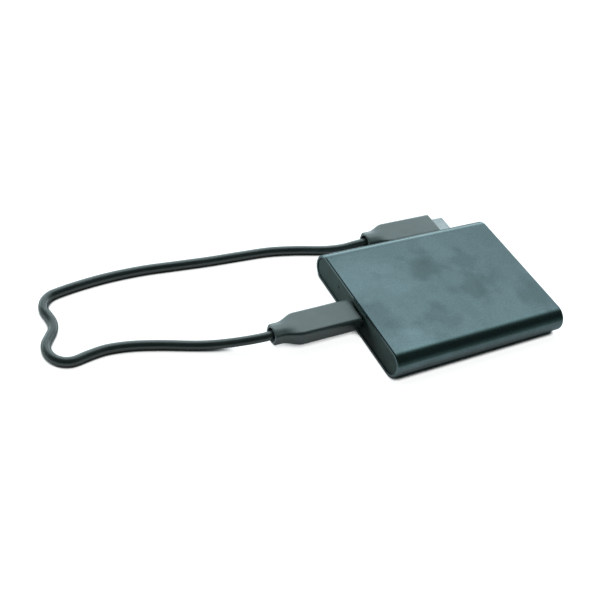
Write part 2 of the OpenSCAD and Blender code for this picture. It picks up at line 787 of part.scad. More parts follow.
// Ring of the cord's tube round point i of the path, square to the heading there
function unit(v) = v / norm(v);
function cord_ring(path, i) =
    let (last = len(path) - 1,
         ahead = i == 0 ? [-1, 0, 0] : i == last ? [1, 0, 0] : unit(path[i + 1] - path[i - 1]),
         side = unit(cross([0, 0, 1], ahead)),
         up = cross(ahead, side))
    [for (k = [0 : cord_sides - 1]) let (a = 360 * (k + 0.5) / cord_sides)
        path[i] + cord_d / 2 * (cos(a) * side + sin(a) * up)];

module cord() {
    path = with_middles(concat([cord_start], cord_route, [cord_finish]));
    color([0.12, 0.13, 0.13]) skin([for (i = [len(path) - 1 : -1 : 0]) cord_ring(path, i)]);
}

sleeve();
chassis();
rear_bracket();
port_trim();
rear_trim();
port_trim_film();
rear_trim_film();
port_end_screws();
rear_end_screws();
light_pipe();
status_led();
bridge_board();
bridge_board_screws();
socket_shell();
socket_insulator();
socket_contacts();
bridge_chip();
bridge_inductor();
bridge_crystal();
bridge_capacitors();
module_connector();
module_connector_pins();
flash_module_board();
module_screws();
flash_packages();
controller_chip();
memory_chip();
module_capacitors();
thermal_pad();
drive_plug_body();
drive_plug_shell();
drive_plug_insulator();
drive_plug_contacts();
cord();
host_plug_body();
host_plug_shell();
host_plug_insulator();
host_plug_contacts();
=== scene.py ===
"""Looks of a portable solid state drive with a short data cable in its port.

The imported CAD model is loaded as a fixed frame. Both moulded plugs and the cord are modelled here
in place of their CAD solids, every other CAD node is dressed with a finish of its own, and the scene
is lit and seen as in the photograph. Lengths are in metres, unless a description says otherwise.
"""

import logging
import math
from dataclasses import dataclass, field
from enum import Enum
from typing import Callable, NamedTuple

import bpy
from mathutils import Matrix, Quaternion, Vector


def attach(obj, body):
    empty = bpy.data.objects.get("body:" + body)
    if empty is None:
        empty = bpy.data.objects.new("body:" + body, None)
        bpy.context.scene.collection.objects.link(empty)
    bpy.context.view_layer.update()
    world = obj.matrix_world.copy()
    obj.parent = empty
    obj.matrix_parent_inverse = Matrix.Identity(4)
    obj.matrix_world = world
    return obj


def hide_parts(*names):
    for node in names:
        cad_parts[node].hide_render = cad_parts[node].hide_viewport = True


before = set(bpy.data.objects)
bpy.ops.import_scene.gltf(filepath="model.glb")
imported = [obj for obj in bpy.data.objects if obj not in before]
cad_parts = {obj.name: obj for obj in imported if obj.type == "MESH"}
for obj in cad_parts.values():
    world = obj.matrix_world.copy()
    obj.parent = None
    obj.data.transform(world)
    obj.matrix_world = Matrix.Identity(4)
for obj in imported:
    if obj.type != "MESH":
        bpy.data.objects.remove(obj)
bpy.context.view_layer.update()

MM = 0.001
DRIVE_H = 10.5 * MM
TOLERANCE = 0.01 * MM
WELD = 0.0005 * MM
LOG = logging.getLogger("drive")

Colour = tuple[float, float, float]
Point = tuple[float, float, float]


class End(Enum):
    """The cable's two ends: the one in the drive, and the one for a computer."""

    DRIVE = "drive"
    HOST = "host"


# Shader graphs


@dataclass
class Graph:
    """A node tree that is filled node by node."""

    tree: bpy.types.NodeTree

    def add(self, kind: str, inputs: dict | None = None, **settings: object) -> bpy.types.Node:
        """Add a node.

        Args:
            kind: The node's type in Blender, without ShaderNode before it.
            inputs: Values or output sockets for its inputs, by name or number.
            settings: Properties of the node itself.

        Returns:
            The new node.
        """
        node = self.tree.nodes.new("ShaderNode" + kind)
        for name, value in settings.items():
            setattr(node, name, value)
        for name, value in (inputs or {}).items():
            self.feed(node.inputs[name], value)
        return node

    def feed(self, socket: bpy.types.NodeSocket, value: object) -> None:
        """Link an output to a socket, or set the socket's own value.

        Args:
            socket: The input to feed.
            value: An output socket, or a plain number, colour or vector.
        """
        if isinstance(value, bpy.types.NodeSocket):
            self.tree.links.new(value, socket)
        elif isinstance(value, tuple) and socket.type == "RGBA":
            socket.default_value = (*value[:3], 1)
        else:
            socket.default_value = value

    def math(self, operation: str, *values: object) -> bpy.types.NodeSocket:
        """Add a Math node and give its output."""
        node = self.add("Math", dict(enumerate(values)), operation=operation)
        return node.outputs[0]

    def ramp(self, value: object, low: float, high: float, to_low: float = 0,
             to_high: float = 1) -> bpy.types.NodeSocket:
        """Map a value smoothly from one range to another, and stop at its ends.

        Args:
            value: The socket to map.
            low: Value that becomes to_low.
            high: Value that becomes to_high.
            to_low: Result at and before low.
            to_high: Result at and after high.

        Returns:
            The mapped value's socket.
        """
        node = self.add("MapRange", {0: value, 1: low, 2: high, 3: to_low, 4: to_high},
                        interpolation_type="SMOOTHSTEP")
        return node.outputs[0]

    def mix(self, factor: object, first: object, second: object) -> bpy.types.NodeSocket:
        """Mix two colours and give the result."""
        node = self.add("Mix", {0: factor, 6: first, 7: second}, data_type="RGBA")
        return node.outputs[2]

    def place(self) -> bpy.types.NodeSocket:
        """Object coordinates, in metres."""
        return self.add("TexCoord").outputs["Object"]

    def noise(self, place: object, size: object, detail: float = 2.0,
              roughness: float = 0.5) -> bpy.types.NodeSocket:
        """Add smooth noise.

        Args:
            place: Where it is read.
            size: Size of its lumps, in metres.
            detail: How many finer layers it has.
            roughness: How strong the finer layers are.

        Returns:
            The noise, which lies around 0.5.
        """
        scale = self.math("DIVIDE", 1.0, size)
        node = self.add("TexNoise", {"Vector": place, "Scale": scale, "Detail": detail,
                                     "Roughness": roughness})
        return node.outputs[0]

    def bump(self, height: object, distance: object, strength: object) -> bpy.types.NodeSocket:
        """Turn a height from 0 to 1 into a normal.

        Args:
            height: The height.
            distance: How far apart 0 and 1 are, in metres.
            strength: How much of it is used.

        Returns:
            The normal.
        """
        node = self.add("Bump", {"Strength": strength, "Distance": distance, "Height": height})
        return node.outputs[0]

    def effect(self, group: bpy.types.NodeTree, **values: object) -> bpy.types.Node:
        """Place a shared effect and give its node.

        Args:
            group: The node group of the effect.
            values: Its inputs, by name.

        Returns:
            The group's node.
        """
        node = self.add("Group", node_tree=group)
        for name, value in values.items():
            self.feed(node.inputs[name], value)
        return node


def new_group(name: str, inputs: dict[str, float],
              outputs: dict[str, str]) -> tuple[Graph, dict, dict]:
    """Make an empty shader node group.

    Args:
        name: Name of the group.
        inputs: Its number inputs with their default values.
        outputs: Its outputs with their kinds, Float, Vector or Color.

    Returns:
        The graph to fill, its input sockets by name, and its output sockets by name.
    """
    tree = bpy.data.node_groups.new(name, "ShaderNodeTree")
    for label, value in inputs.items():
        socket = tree.interface.new_socket(label, in_out="INPUT", socket_type="NodeSocketFloat")
        socket.default_value = value
    for label, kind in outputs.items():
        tree.interface.new_socket(label, in_out="OUTPUT", socket_type="NodeSocket" + kind)
    source = tree.nodes.new("NodeGroupInput")
    target = tree.nodes.new("NodeGroupOutput")
    given = {socket.name: socket for socket in source.outputs if socket.name}
    wanted = {socket.name: socket for socket in target.inputs if socket.name}
    return Graph(tree), given, wanted


SPOT_LUMPS = 1.4
SPOT_CORE = 0.22
SPOT_EDGE = 0.82
FLECK_ENDS = (0.35, 0.65)
LINE_STRETCH = (0.03, 1, 1)


def make_blotches() -> bpy.types.NodeTree:
    """Soft uneven patches, such as handling leaves on a satin surface.

    Returns:
        A group with the inputs Size, Low and High, and the output Mask.
    """
    inputs = {"Size": 10 * MM, "Low": 0.4, "High": 0.65}
    graph, given, out = new_group("blotches", inputs, {"Mask": "Float"})
    noise = graph.noise(graph.place(), given["Size"])
    graph.feed(out["Mask"], graph.ramp(noise, given["Low"], given["High"]))
    return graph.tree


def make_spot() -> bpy.types.NodeTree:
    """One spot with an even core and a soft, uneven outline.

    Returns:
        A group with the inputs X, Y, Z, Radius and Wobble, and the output Mask.
    """
    inputs = {"X": 0.0, "Y": 0.0, "Z": 0.0, "Radius": 5 * MM, "Wobble": 0.5}
    graph, given, out = new_group("spot", inputs, {"Mask": "Float"})
    middle = graph.add("CombineXYZ", {name: given[name] for name in "XYZ"}).outputs[0]
    place = graph.place()
    noise = graph.noise(place, graph.math("DIVIDE", given["Radius"], SPOT_LUMPS))
    shift = graph.math("MULTIPLY", graph.math("SUBTRACT", noise, 0.5), given["Wobble"])
    away = graph.add("VectorMath", {0: place, 1: middle}, operation="DISTANCE").outputs["Value"]
    share = graph.math("ADD", graph.math("DIVIDE", away, given["Radius"]), shift)
    graph.feed(out["Mask"], graph.ramp(share, SPOT_CORE, SPOT_EDGE, 1, 0))
    return graph.tree


def make_grain() -> bpy.types.NodeTree:
    """Fine even grain of a blasted, spark-eroded or sintered surface.

    Returns:
        A group with the inputs Size, Height and Strength, and the outputs Normal and Fleck.
    """
    inputs = {"Size": 0.2 * MM, "Height": 0.01 * MM, "Strength": 0.5}
    graph, given, out = new_group("grain", inputs, {"Normal": "Vector", "Fleck": "Float"})
    noise = graph.noise(graph.place(), given["Size"], detail=3.0, roughness=0.6)
    graph.feed(out["Normal"], graph.bump(noise, given["Height"], given["Strength"]))
    graph.feed(out["Fleck"], graph.ramp(noise, *FLECK_ENDS))
    return graph.tree


def make_streaks() -> bpy.types.NodeTree:
    """Fine lines along X, such as drawing, extruding or rolling leaves on metal.

    Returns:
        A group with the inputs Size, Height and Strength, and the output Normal.
    """
    inputs = {"Size": 0.1 * MM, "Height": 0.004 * MM, "Strength": 0.4}
    graph, given, out = new_group("streaks", inputs, {"Normal": "Vector"})
    stretched = graph.add("Mapping", {"Vector": graph.place(), "Scale": Vector(LINE_STRETCH)})
    noise = graph.noise(stretched.outputs[0], given["Size"])
    graph.feed(out["Normal"], graph.bump(noise, given["Height"], given["Strength"]))
    return graph.tree


BLOTCHES = make_blotches()
SPOT = make_spot()
GRAIN = make_grain()
STREAKS = make_streaks()


# Finishes


@dataclass(frozen=True)
class Finish:
    """A plain moulded or sintered surface: colour with soft patches, and a fine grain.

    Attributes:
        name: Its name.
        colour: Its mean colour.
        roughness: Its mean roughness.
        metallic: 1 for metal.
        patch: Size of its patches.
        patch_ends: Values of the noise at which one begins and is full.
        patch_depth: Share by which a patch is lighter or darker.
        patch_gloss: Share by which a patch is rougher or smoother.
        grain: Size of its grain.
        grain_height: Height of its grain.
        grain_strength: How much of that height shows.
        fleck: Share by which a fleck is lighter or darker.
        fleck_size: Size of its flecks.
        specular: Strength of its mirrored light.
        coat: How much of it has a skin with a sheen of its own.
        coat_roughness: Roughness of that skin.
        coat_ior: Index of refraction of that skin.
    """

    name: str
    colour: Colour
    roughness: float = 0.5
    metallic: float = 0.0
    patch: float = 6 * MM
    patch_ends: tuple[float, float] = (0.35, 0.65)
    patch_depth: float = 0.15
    patch_gloss: float = 0.08
    grain: float = 0.25 * MM
    grain_height: float = 0.01 * MM
    grain_strength: float = 0.6
    fleck: float = 0.05
    fleck_size: float = 0.8 * MM
    specular: float = 0.5
    coat: float = 0.0
    coat_roughness: float = 0.3
    coat_ior: float = 1.5

    def make(self) -> bpy.types.Material:
        """Make the material, set its plain values and fill in its pattern.

        Returns:
            The material.
        """
        material = bpy.data.materials.new(self.name + "_finish")
        material.use_nodes = True
        graph = Graph(material.node_tree)
        shader = graph.tree.nodes["Principled BSDF"]
        plain = {
            "Base Color": self.colour, "Roughness": self.roughness, "Metallic": self.metallic,
            "Specular IOR Level": self.specular, "Coat Weight": self.coat,
            "Coat Roughness": self.coat_roughness, "Coat IOR": self.coat_ior,
        }
        for name, value in plain.items():
            graph.feed(shader.inputs[name], value)
        self.fill(graph, shader)
        return material

    def fill(self, graph: Graph, shader: bpy.types.Node) -> None:
        """Give the surface its pattern.

        Args:
            graph: The material's graph.
            shader: Its Principled BSDF.
        """
        self.patched(graph, shader)
        self.grained(graph, shader)

    def tone(self, lift: float) -> Colour:
        """The finish's colour made lighter by a share."""
        return tuple(min(1.0, c * (1 + lift)) for c in self.colour)

    def patched(self, graph: Graph, shader: bpy.types.Node) -> None:
        """Vary colour and roughness in soft patches.

        Args:
            graph: The material's graph.
            shader: Its Principled BSDF.
        """
        low, high = self.patch_ends
        mask = graph.effect(BLOTCHES, Size=self.patch, Low=low, High=high).outputs["Mask"]
        dark = self.tone(-self.patch_depth)
        light = self.tone(self.patch_depth)
        graph.feed(shader.inputs["Base Color"], self.flecked(graph, graph.mix(mask, dark, light)))
        smoother = self.roughness * (1 - self.patch_gloss)
        rougher = self.roughness * (1 + self.patch_gloss)
        graph.feed(shader.inputs["Roughness"], graph.ramp(mask, 0, 1, smoother, rougher))

    def flecked(self, graph: Graph, colour: bpy.types.NodeSocket) -> bpy.types.NodeSocket:
        """Let the grain make a colour a little lighter and darker.

        Args:
            graph: The material's graph.
            colour: The colour to vary.

        Returns:
            The varied colour.
        """
        fleck = graph.effect(GRAIN, Size=self.fleck_size).outputs["Fleck"]
        share = graph.ramp(fleck, 0, 1, 1 - self.fleck, 1 + self.fleck)
        mixed = graph.add("Mix", {0: 1.0, 6: colour, 7: share}, data_type="RGBA", blend_type="MULTIPLY")
        return mixed.outputs[2]

    def grained(self, graph: Graph, shader: bpy.types.Node) -> None:
        """Give the surface its fine grain.

        Args:
            graph: The material's graph.
            shader: Its Principled BSDF.
        """
        effect = graph.effect(GRAIN, Size=self.grain, Height=self.grain_height,
                              Strength=self.grain_strength)
        graph.feed(shader.inputs["Normal"], effect.outputs["Normal"])


class Mark(NamedTuple):
    """A mark on the top of the sleeve: its place and radius in millimetres, and its strength.

    A mark whose strength is below 0 is lighter than the rest: a painted highlight.
    """

    x: float
    y: float
    radius: float
    strength: float


@dataclass(frozen=True)
class Anodised(Finish):
    """Blasted and anodised aluminium with the haze that hands leave on it, marks on the top that are
    partly smudges and partly painted reflection and highlights, and rims lighter by wear and a painted
    highlight.

    Attributes:
        rim_ends: Distances from the middle at which the lighter rims begin and are full.
        rim_wear_and_highlight_lift: Share by which the rims are lighter, partly from wear and partly as a
            painted highlight along the bevels.
        ground: Haze that is everywhere, from 0 to 1.
        haze: What uneven haze adds to it.
        haze_size: Size of that haze's patches.
        haze_ends: Values of the noise at which one begins and is full.
        highlight_lift: Share by which a place is lighter where the marks add up to 0: a painted
            highlight.
        smudge_and_reflection_lift: The same where the marks add up to 1, below 0 as it is darker: partly
            smudge, partly painted reflection.
        smudge_rough: What full smudging adds to the roughness.
        smudge_wobble: How uneven the outline of a mark is.
        smudges_and_reflections: The marks of the top: those above 0 darken it, partly as smudges and
            partly as painted reflection; those below 0 are painted highlights.
        nick: The nick near the port end's back corner.
        nick_lift: The same for the nick.
        nick_wobble: How uneven its outline is.
    """

    metallic: float = 1.0
    rim_ends: tuple[float, float] = (36.94 * MM, 36.982 * MM)
    rim_wear_and_highlight_lift: float = 0.25
    ground: float = 0.31
    haze: float = 0.15
    haze_size: float = 7 * MM
    haze_ends: tuple[float, float] = (0.4, 0.7)
    highlight_lift: float = 0.22
    smudge_and_reflection_lift: float = -0.3
    smudge_rough: float = 0.08
    smudge_wobble: float = 1.8
    # Marks above 0 are partly smudges, partly painted reflection; marks below 0 are painted highlights.
    smudges_and_reflections: tuple[Mark, ...] = (
        Mark(-2.5, 11.5, 13, 0.5), Mark(16, 9, 8, 0.32), Mark(11, -6, 12, 0.42),
        Mark(-12, -15.5, 12, 0.34), Mark(35, -17, 17, 0.4), Mark(-34, -8, 13, 0.32),
        Mark(22, -2, 9, 0.17), Mark(0, -3, 8, 0.12), Mark(33, 18, 10, 0.15),
        Mark(-26, -26, 14, -0.36), Mark(-34, 12, 16, -0.2), Mark(-18, 7, 13, -0.2),
        Mark(20, -16, 13, -0.1), Mark(8, 19, 11, -0.12), Mark(-12, 23, 10, 0.08),
    )
    nick: Mark = Mark(-34.9, 23.4, 0.35, 1.0)
    nick_lift: float = -0.8
    nick_wobble: float = 0.3

    def spot(self, graph: Graph, mark: Mark, wobble: float) -> bpy.types.NodeSocket:
        """Place one mark on the top.

        Args:
            graph: The material's graph.
            mark: The mark.
            wobble: How uneven its outline is.

        Returns:
            Its mask, times its strength.
        """
        effect = graph.effect(SPOT, X=mark.x * MM, Y=mark.y * MM, Z=DRIVE_H, Radius=mark.radius * MM,
                              Wobble=wobble)
        return graph.math("MULTIPLY", effect.outputs["Mask"], mark.strength)

    def smudge_and_reflection_mask(self, graph: Graph) -> bpy.types.NodeSocket:
        """Add up the marks of the top, which are smudges, painted reflection and painted highlights, and
        a faint haze all round.

        Args:
            graph: The material's graph.

        Returns:
            How dark a place is painted by smudges and painted reflection, from 0 to 1.
        """
        low, high = self.haze_ends
        haze = graph.effect(BLOTCHES, Size=self.haze_size, Low=low, High=high).outputs["Mask"]
        total = graph.math("MULTIPLY_ADD", haze, self.haze, self.ground)
        for mark in self.smudges_and_reflections:
            total = graph.math("ADD", total, self.spot(graph, mark, self.smudge_wobble))
        return graph.math("MINIMUM", graph.math("MAXIMUM", total, 0.0), 1.0)

    def fill(self, graph: Graph, shader: bpy.types.Node) -> None:
        """Smudges and painted reflection on the sheen, one small nick, fine blasting, and rims made
        lighter by wear and a painted highlight.

        Args:
            graph: The material's graph.
            shader: Its Principled BSDF.
        """
        smudge_and_reflection = self.smudge_and_reflection_mask(graph)
        # Painted reflection and highlights, with the smudges: lighter where the marks are low, darker
        # where they are full.
        body = graph.mix(smudge_and_reflection, self.tone(self.highlight_lift), self.tone(self.smudge_and_reflection_lift))
        nick = self.spot(graph, self.nick, self.nick_wobble)
        body = self.flecked(graph, graph.mix(nick, body, self.tone(self.nick_lift)))
        x = graph.add("SeparateXYZ", {0: graph.place()}).outputs["X"]
        # The rims are painted lighter: partly wear, partly a painted highlight along the bevels.
        rim_wear_and_highlight = graph.ramp(graph.math("ABSOLUTE", x), *self.rim_ends)
        graph.feed(shader.inputs["Base Color"], graph.mix(rim_wear_and_highlight, body, self.tone(self.rim_wear_and_highlight_lift)))
        rough = graph.ramp(smudge_and_reflection, 0, 1, self.roughness, self.roughness + self.smudge_rough)
        graph.feed(shader.inputs["Roughness"], rough)
        self.grained(graph, shader)


@dataclass(frozen=True)
class Drawn(Finish):
    """Plated metal that was drawn or rolled, with fine lines along it.

    Attributes:
        line: Width of its lines.
        line_height: Height of its lines.
        line_strength: How much of that height shows.
    """

    metallic: float = 1.0
    line: float = 0.08 * MM
    line_height: float = 0.004 * MM
    line_strength: float = 0.5

    def fill(self, graph: Graph, shader: bpy.types.Node) -> None:
        """Soft patches, and lines along the metal.

        Args:
            graph: The material's graph.
            shader: Its Principled BSDF.
        """
        self.patched(graph, shader)
        effect = graph.effect(STREAKS, Size=self.line, Height=self.line_height,
                              Strength=self.line_strength)
        graph.feed(shader.inputs["Normal"], effect.outputs["Normal"])


@dataclass(frozen=True)
class Board(Finish):
    """Circuit board: solder mask that shows its copper tracks a little lighter.

    Attributes:
        track: Distance between the tracks.
        track_ends: Distances from a cell's middle at which a track begins and is full, in cells.
        track_lift: Share by which the tracks are lighter.
        track_height: Height of the tracks.
        track_strength: How much of that height shows.
        unevenness: How far the tracks are from a plain grid, from 0 to 1.
    """

    track: float = 1.1 * MM
    track_ends: tuple[float, float] = (0.42, 0.46)
    track_lift: float = 0.7
    track_height: float = 0.03 * MM
    track_strength: float = 0.4
    unevenness: float = 0.6

    def fill(self, graph: Graph, shader: bpy.types.Node) -> None:
        """Tracks that run square to each other.

        Args:
            graph: The material's graph.
            shader: Its Principled BSDF.
        """
        pattern = {"Vector": graph.place(), "Scale": 1 / self.track, "Randomness": self.unevenness}
        cells = graph.add("TexVoronoi", pattern, distance="MANHATTAN", feature="F1")
        track = graph.ramp(cells.outputs["Distance"], *self.track_ends)
        colour = graph.mix(track, self.colour, self.tone(self.track_lift))
        graph.feed(shader.inputs["Base Color"], colour)
        graph.feed(shader.inputs["Normal"], graph.bump(track, self.track_height, self.track_strength))


@dataclass(frozen=True)
class Clear(Finish):
    """Clear moulding with a fine grain, and a tip coloured dark at the end that shows.

    Attributes:
        clearness: How much of the light goes through.
        ior: Its index of refraction.
        tip_x: Where the dark tip begins to clear.
        tip_l: Length over which it clears.
        tip_colour: The tip's colour.
    """

    clearness: float = 0.85
    ior: float = 1.49
    tip_x: float = -36.3 * MM
    tip_l: float = 0.4 * MM
    tip_colour: Colour = (0.02, 0.024, 0.024)

    def fill(self, graph: Graph, shader: bpy.types.Node) -> None:
        """Clear inside, and coloured dark at the end that shows.

        Args:
            graph: The material's graph.
            shader: Its Principled BSDF.
        """
        graph.feed(shader.inputs["Transmission Weight"], self.clearness)
        graph.feed(shader.inputs["IOR"], self.ior)
        x = graph.add("SeparateXYZ", {0: graph.place()}).outputs["X"]
        tip = graph.ramp(x, self.tip_x, self.tip_x + self.tip_l, 1, 0)
        graph.feed(shader.inputs["Base Color"], graph.mix(tip, self.colour, self.tip_colour))
        self.grained(graph, shader)


FINISHES = (
    Anodised("anodised_sleeve", (0.212, 0.27, 0.285), 0.23, grain=0.12 * MM, grain_height=0.004 * MM),
    Finish("end_trim", (0.028, 0.049, 0.045), 0.48, grain=0.15 * MM, grain_height=0.006 * MM),
    Finish("adhesive_film", (0.6, 0.6, 0.55), 0.6, patch=3 * MM),
    Finish("chassis_plastic", (0.04, 0.04, 0.042), 0.55, grain=0.3 * MM, grain_height=0.02 * MM),
    Drawn("screw_steel", (0.55, 0.55, 0.55), 0.3),
    Drawn("connector_steel", (0.6, 0.61, 0.62), 0.28),
    Clear("clear_plastic", (0.8, 0.85, 0.88), 0.08),
    Finish("led_body", (0.85, 0.83, 0.65), 0.3, patch=0.6 * MM),
    Board("board_green", (0.02, 0.1, 0.06), 0.35),
    Board("board_blue", (0.02, 0.07, 0.18), 0.35),
    Finish("insulator", (0.02, 0.02, 0.022), 0.45, grain=0.2 * MM),
    Drawn("contact_gold", (0.83, 0.62, 0.25), 0.22),
    Finish("chip_package", (0.025, 0.025, 0.028), 0.5, grain=0.12 * MM, grain_height=0.01 * MM),
    Finish("ferrite", (0.12, 0.115, 0.11), 0.7, grain=0.1 * MM, grain_height=0.02 * MM),
    Finish("capacitor_ceramic", (0.38, 0.26, 0.14), 0.35, patch=0.5 * MM),
    Finish("thermal_pad", (0.2, 0.3, 0.4), 0.8, grain=0.5 * MM, grain_height=0.03 * MM),
    Finish("plug_moulding", (0.05, 0.07, 0.07), 0.38, patch=5 * MM, patch_depth=0.1, grain=0.12 * MM,
           grain_height=0.008 * MM, specular=1.0, coat=1.0, coat_roughness=0.3, coat_ior=1.8),
    Finish("cord_jacket", (0.02, 0.028, 0.027), 0.36, patch=4 * MM, grain=0.2 * MM,
           grain_height=0.006 * MM, specular=1.0, coat=1.0, coat_roughness=0.35, coat_ior=1.7),
)
MATERIALS = {finish.name: finish.make() for finish in FINISHES}


def dress(name: str, finish: str) -> None:
    """Give a CAD node its finish.

    Args:
        name: The node.
        finish: Name of the finish.
    """
    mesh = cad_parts[name].data
    mesh.materials.clear()
    mesh.materials.append(MATERIALS[finish])
    LOG.info("%s: %s", name, finish)


def finish_piece(piece: bpy.types.Object, finish: str, *nodes: str) -> None:
    """Dress a new piece and let it stand for CAD nodes.

    Args:
        piece: The new object.
        finish: Name of its finish.
        nodes: The CAD nodes that it stands for.
    """
    piece.data.materials.clear()
    piece.data.materials.append(MATERIALS[finish])
    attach(piece, "root")
    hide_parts(*nodes)
    faces = len(getattr(piece.data, "polygons", ()))
    LOG.info("%s: %d faces, for %s", piece.name, faces, ", ".join(nodes))


# Modelling by operators


def deselect() -> None:
    """Deselect every object."""
    bpy.ops.object.select_all(action="DESELECT")


def name_new(name: str) -> bpy.types.Object:
    """Name the object that was just added.

    Args:
        name: Its name, also for its mesh.

    Returns:
        The object.
    """
    piece = bpy.context.object
    piece.name = piece.data.name = name
    return piece


def select(piece: bpy.types.Object) -> None:
    """Make one object the active one, and the only one selected.

    Args:
        piece: The object.
    """
    deselect()
    piece.select_set(True)
    bpy.context.view_layer.objects.active = piece


def edit() -> None:
    """Go into edit mode on the active object."""
    bpy.ops.object.mode_set(mode="EDIT")


def leave_edit() -> None:
    """Go back to object mode."""
    bpy.ops.object.mode_set(mode="OBJECT")


def place_in_mesh() -> None:
    """Put the place, turn and scale of the selected object into its mesh."""
    bpy.ops.object.transform_apply(location=True, rotation=True, scale=True)


def pick_edges(piece: bpy.types.Object, test: Callable[[Vector, Vector], bool]) -> None:
    """Select edges by their ends, and go to edit mode.

    Args:
        piece: The active object.
        test: Tells by its two ends whether an edge is wanted.
    """
    leave_edit()
    mesh = piece.data
    for group in (mesh.vertices, mesh.edges, mesh.polygons):
        group.foreach_set("select", [False] * len(group))
    for line in mesh.edges:
        line.select = test(*(mesh.vertices[i].co for i in line.vertices))
    edit()
    bpy.ops.mesh.select_mode(type="EDGE")


def apply_modifier(piece: bpy.types.Object, kind: str, **settings: object) -> None:
    """Add a modifier to a piece and apply it.

    Args:
        piece: The object, in object mode.
        kind: The modifier's type.
        settings: Its settings.
    """
    select(piece)
    modifier = piece.modifiers.new(kind.lower(), kind)
    for name, value in settings.items():
        setattr(modifier, name, value)
    bpy.ops.object.modifier_apply(modifier=modifier.name)


def smooth(piece: bpy.types.Object, angle: float) -> None:
    """Shade a piece smooth, with an edge sharp where it turns by more than an angle in degrees."""
    select(piece)
    bpy.ops.object.shade_smooth_by_angle(angle=math.radians(angle))


def smoothstep(t: float) -> float:
    """Smooth rise from 0 to 1."""
    return t * t * (3 - 2 * t)


# The cable


QUARTER = (0, 22.5, 45, 67.5, 90)
LIP_TURNS = (30, 60, 90)


def sink(turn: float) -> float:
    """How far a quarter round has gone down after a turn in degrees, from 0 to 1."""
    return 1 - math.cos(math.radians(turn))


def inset(turn: float) -> float:
    """How far a quarter round is still from its full width after a turn in degrees, from 1 to 0."""
    return 1 - math.sin(math.radians(turn))


